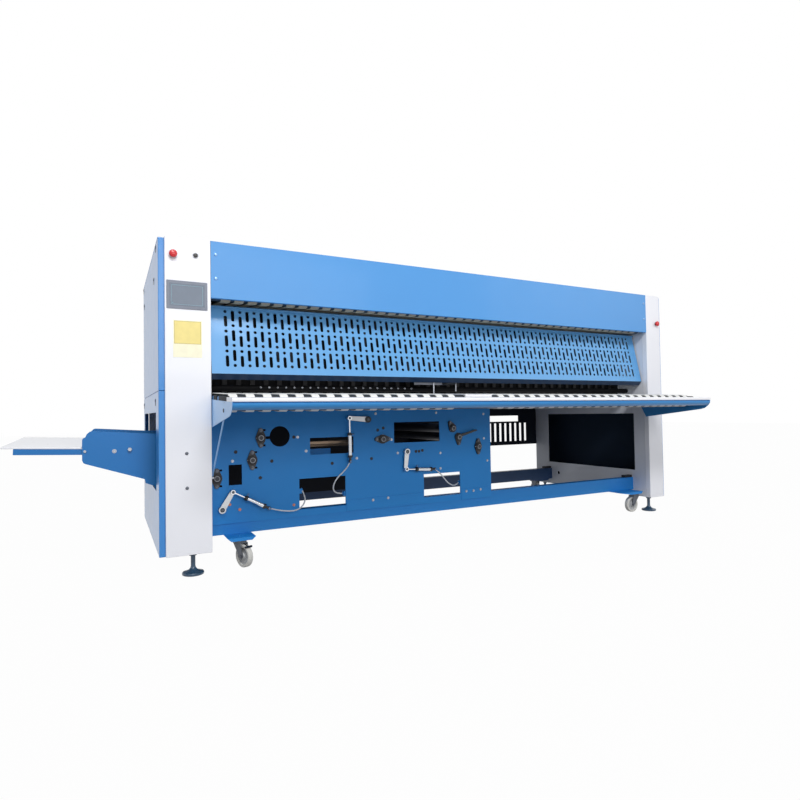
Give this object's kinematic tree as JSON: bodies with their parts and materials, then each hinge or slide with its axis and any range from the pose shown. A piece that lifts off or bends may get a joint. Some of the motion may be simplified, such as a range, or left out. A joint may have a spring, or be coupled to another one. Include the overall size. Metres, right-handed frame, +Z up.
{
  "type": "flatwork folding machine",
  "caption": "Long cabinet for folding flat linen: belted infeed table under a hinged perforated guard, cross-fold rollers below, delivery outlet at the left end.",
  "frame": {"origin": "centre of the bounding box, on the floor", "axes": "+Z up, +Y from the infeed side towards the back, +X from the delivery end towards the plain end"},
  "size_m": [4.5326, 1.8826, 1.755],
  "materials": {
    "frame_white": "satin off-white paint",
    "cover_white": "satin off-white paint",
    "cover_blue": "gloss blue paint",
    "guard_blue": "gloss light blue paint",
    "beam_blue": "gloss blue paint",
    "plate_blue": "gloss dark blue paint",
    "bearing_black": "black cast",
    "board_white": "white laminate",
    "belt_white": "woven white belt",
    "belt_beige": "woven canvas belt",
    "roller_steel": "turned steel tube",
    "screen_grey": "satin grey bezel",
    "stop_red": "gloss red",
    "start_black": "gloss black",
    "screw_steel": "steel hexagon heads",
    "foot_teal": "satin teal",
    "zinc": "zinc plated",
    "wheel_grey": "light grey polyamide",
    "stay_blue": "light blue paint",
    "motor_grey": "satin grey paint",
    "grille_black": "satin black paint",
    "aluminium_silver": "anodised",
    "rod_chrome": "polished",
    "crank_steel": "ground steel",
    "hose_plastic": "translucent light blue tube"
  },
  "bodies": {
    "cabinet": {"left_end_frame": "frame_white", "right_end_frame": "frame_white", "left_column_cover": "cover_white", "right_column_cover": "cover_white", "left_upper_cover": "cover_blue", "left_lower_cover": "cover_blue", "right_side_cover": "cover_blue", "header_cover": "cover_blue", "top_rear_cover": "cover_blue", "base_beams": "beam_blue", "fold_plate_front": "plate_blue", "fold_plate_rear": "plate_blue", "bearing_housings": "bearing_black", "upper_belts": "belt_beige", "operator_screen": "screen_grey", "cover_screws": "screw_steel", "rear_caster_forks": "zinc", "outfeed_brackets": "cover_blue", "outfeed_belts": "belt_white", "drive_motor": "motor_grey", "rear_grille": "grille_black", "air_hose_one": "hose_plastic", "air_hose_two": "hose_plastic", "air_hose_three": "hose_plastic"},
    "infeed_table": {"infeed_frame": "beam_blue", "infeed_bed": "board_white", "infeed_belts": "belt_white"},
    "table_stay": {"table_stay": "stay_blue"},
    "infeed_nose_roller": {"infeed_nose_roller": "roller_steel"},
    "infeed_rear_roller": {"infeed_rear_roller": "roller_steel"},
    "upper_front_roller": {"upper_front_roller": "roller_steel"},
    "fold_roller": {"fold_roller": "roller_steel"},
    "guard": {"guard_panel": "guard_blue"},
    "cross_roller_one": {"cross_roller_one": "roller_steel"},
    "cross_roller_two": {"cross_roller_two": "roller_steel"},
    "cross_roller_three": {"cross_roller_three": "roller_steel"},
    "cross_roller_four": {"cross_roller_four": "roller_steel"},
    "cross_roller_five": {"cross_roller_five": "roller_steel"},
    "cross_roller_six": {"cross_roller_six": "roller_steel"},
    "cross_roller_seven": {"cross_roller_seven": "roller_steel"},
    "outfeed_roller": {"outfeed_roller": "roller_steel"},
    "delivery_slab": {"delivery_slab": "board_white"},
    "crank_arm_one": {"crank_arm_one": "crank_steel"},
    "air_cylinder_one": {"air_cylinder_one": "aluminium_silver"},
    "cylinder_rod_one": {"cylinder_rod_one": "rod_chrome"},
    "crank_arm_two": {"crank_arm_two": "crank_steel"},
    "air_cylinder_two": {"air_cylinder_two": "aluminium_silver"},
    "cylinder_rod_two": {"cylinder_rod_two": "rod_chrome"},
    "crank_arm_three": {"crank_arm_three": "crank_steel"},
    "air_cylinder_three": {"air_cylinder_three": "aluminium_silver"},
    "cylinder_rod_three": {"cylinder_rod_three": "rod_chrome"},
    "stop_button_left": {"stop_button_left": "stop_red"},
    "stop_button_right": {"stop_button_right": "stop_red"},
    "start_button": {"start_button": "start_black"},
    "levelling_feet": {"levelling_feet": "foot_teal"},
    "caster_fork_left": {"caster_fork_left": "zinc"},
    "caster_wheel_left": {"caster_wheel_left": "wheel_grey"},
    "caster_fork_right": {"caster_fork_right": "zinc"},
    "caster_wheel_right": {"caster_wheel_right": "wheel_grey"},
    "rear_caster_wheels": {"rear_caster_wheels": "wheel_grey"}
  },
  "joints": [
    {"name": "table_lift", "type": "hinge", "parent": "cabinet", "child": "infeed_table", "pos_m": [-0.03969, -0.32866, 0.908], "axis": [1, 0, 0], "range_deg": [-35, 0]},
    {"name": "stay_fold", "type": "hinge", "parent": "infeed_table", "child": "table_stay", "pos_m": [-1.30309, -0.73432, 0.8514], "axis": [1, 0, 0], "range_deg": [0, 14]},
    {"name": "nose_roller_spin", "type": "hinge", "parent": "infeed_table", "child": "infeed_nose_roller", "pos_m": [-0.03969, -0.75411, 0.88645], "axis": [1, 0, 0], "continuous": true},
    {"name": "rear_roller_spin", "type": "hinge", "parent": "infeed_table", "child": "infeed_rear_roller", "pos_m": [-0.03969, -0.32866, 0.908], "axis": [1, 0, 0], "continuous": true},
    {"name": "upper_roller_spin", "type": "hinge", "parent": "cabinet", "child": "upper_front_roller", "pos_m": [-0.03969, -0.33166, 1.478], "axis": [1, 0, 0], "continuous": true},
    {"name": "fold_roller_spin", "type": "hinge", "parent": "cabinet", "child": "fold_roller", "pos_m": [-0.03969, 0.29634, 1.56], "axis": [1, 0, 0], "continuous": true},
    {"name": "guard_swing", "type": "hinge", "parent": "cabinet", "child": "guard", "pos_m": [-0.03969, -0.26696, 1.4334], "axis": [1, 0, 0], "range_deg": [-60, 0]},
    {"name": "cross_roller_one_spin", "type": "hinge", "parent": "cabinet", "child": "cross_roller_one", "pos_m": [-1.02169, 0.19634, 0.697], "axis": [0, 1, 0], "continuous": true},
    {"name": "cross_roller_two_spin", "type": "hinge", "parent": "cabinet", "child": "cross_roller_two", "pos_m": [-1.07069, 0.19634, 0.572], "axis": [0, 1, 0], "continuous": true},
    {"name": "cross_roller_three_spin", "type": "hinge", "parent": "cabinet", "child": "cross_roller_three", "pos_m": [-1.26569, 0.19634, 0.48], "axis": [0, 1, 0], "continuous": true},
    {"name": "cross_roller_four_spin", "type": "hinge", "parent": "cabinet", "child": "cross_roller_four", "pos_m": [-0.24469, 0.19634, 0.663], "axis": [0, 1, 0], "continuous": true},
    {"name": "cross_roller_five_spin", "type": "hinge", "parent": "cabinet", "child": "cross_roller_five", "pos_m": [0.28731, 0.19634, 0.719], "axis": [0, 1, 0], "continuous": true},
    {"name": "cross_roller_six_spin", "type": "hinge", "parent": "cabinet", "child": "cross_roller_six", "pos_m": [0.33431, 0.19634, 0.657], "axis": [0, 1, 0], "continuous": true},
    {"name": "cross_roller_seven_spin", "type": "hinge", "parent": "cabinet", "child": "cross_roller_seven", "pos_m": [0.49731, 0.19634, 0.586], "axis": [0, 1, 0], "continuous": true},
    {"name": "outfeed_roller_spin", "type": "hinge", "parent": "cabinet", "child": "outfeed_roller", "pos_m": [-1.69369, 0.19634, 0.655], "axis": [0, 1, 0], "continuous": true},
    {"name": "slab_fold", "type": "hinge", "parent": "cabinet", "child": "delivery_slab", "pos_m": [-1.90369, 0.19634, 0.652], "axis": [0, 1, 0], "range_deg": [0, 85]},
    {"name": "crank_one_turn", "type": "hinge", "parent": "cabinet", "child": "crank_arm_one", "pos_m": [-1.23969, -0.25866, 0.307], "axis": [0, 1, 0], "range_deg": [-22, 0]},
    {"name": "cylinder_one_swing", "type": "hinge", "parent": "cabinet", "child": "air_cylinder_one", "pos_m": [-0.98369, -0.27466, 0.296], "axis": [0, 1, 0], "range_deg": [-1.92, 1]},
    {"name": "rod_one_slide", "type": "slide", "parent": "air_cylinder_one", "child": "cylinder_rod_one", "axis": [-0.8836, 0, 0.4683], "range_m": [-0.002, 0.04398]},
    {"name": "crank_two_turn", "type": "hinge", "parent": "cabinet", "child": "crank_arm_two", "pos_m": [-0.35169, -0.25866, 0.79], "axis": [0, 1, 0], "range_deg": [0, 22]},
    {"name": "cylinder_two_swing", "type": "hinge", "parent": "cabinet", "child": "air_cylinder_two", "pos_m": [-0.47969, -0.27466, 0.535], "axis": [0, 1, 0], "range_deg": [-1, 3.21]},
    {"name": "rod_two_slide", "type": "slide", "parent": "air_cylinder_two", "child": "cylinder_rod_two", "axis": [-0.0075, 0, 1], "range_m": [-0.002, 0.05066]},
    {"name": "crank_three_turn", "type": "hinge", "parent": "cabinet", "child": "crank_arm_three", "pos_m": [-0.07569, -0.25866, 0.576], "axis": [0, 1, 0], "range_deg": [0, 22]},
    {"name": "cylinder_three_swing", "type": "hinge", "parent": "cabinet", "child": "air_cylinder_three", "pos_m": [0.12431, -0.27466, 0.452], "axis": [0, 1, 0], "range_deg": [-1, 2.95]},
    {"name": "rod_three_slide", "type": "slide", "parent": "air_cylinder_three", "child": "cylinder_rod_three", "axis": [-0.9984, 0, 0.0565], "range_m": [-0.002, 0.04436]},
    {"name": "stop_left_press", "type": "slide", "parent": "cabinet", "child": "stop_button_left", "axis": [0, 1, 0], "range_m": [0, 0.007]},
    {"name": "stop_right_press", "type": "slide", "parent": "cabinet", "child": "stop_button_right", "axis": [0, 1, 0], "range_m": [0, 0.007]},
    {"name": "start_press", "type": "slide", "parent": "cabinet", "child": "start_button", "axis": [0, 1, 0], "range_m": [0, 0.0025], "stiffness_N_per_m": 400},
    {"name": "feet_level", "type": "slide", "parent": "cabinet", "child": "levelling_feet", "axis": [0, 0, 1], "range_m": [-0.03, 0]},
    {"name": "caster_left_swivel", "type": "hinge", "parent": "cabinet", "child": "caster_fork_left", "pos_m": [-1.15469, -0.31366, 0.13], "axis": [0, 0, 1], "continuous": true},
    {"name": "caster_left_roll", "type": "hinge", "parent": "caster_fork_left", "child": "caster_wheel_left", "pos_m": [-1.14005, -0.34655, 0.0625], "axis": [0.9135, 0.4067, 0], "continuous": true},
    {"name": "caster_right_swivel", "type": "hinge", "parent": "cabinet", "child": "caster_fork_right", "pos_m": [1.98531, -0.31366, 0.13], "axis": [0, 0, 1], "continuous": true},
    {"name": "caster_right_roll", "type": "hinge", "parent": "caster_fork_right", "child": "caster_wheel_right", "pos_m": [1.94931, -0.31366, 0.0625], "axis": [0, -1, 0], "continuous": true},
    {"name": "rear_casters_roll", "type": "hinge", "parent": "cabinet", "child": "rear_caster_wheels", "pos_m": [0.36031, 0.83234, 0.0625], "axis": [1, 0, 0], "continuous": true}
  ],
  "couplings": [
    {"joint": "cylinder_one_swing", "follows": "crank_one_turn", "ratio": 0.04194},
    {"joint": "rod_one_slide", "follows": "crank_one_turn", "m_per_rad": -0.10933},
    {"joint": "cylinder_two_swing", "follows": "crank_two_turn", "ratio": 0.10039},
    {"joint": "rod_two_slide", "follows": "crank_two_turn", "m_per_rad": 0.12674},
    {"joint": "cylinder_three_swing", "follows": "crank_three_turn", "ratio": 0.08862},
    {"joint": "rod_three_slide", "follows": "crank_three_turn", "m_per_rad": 0.11032}
  ]
}
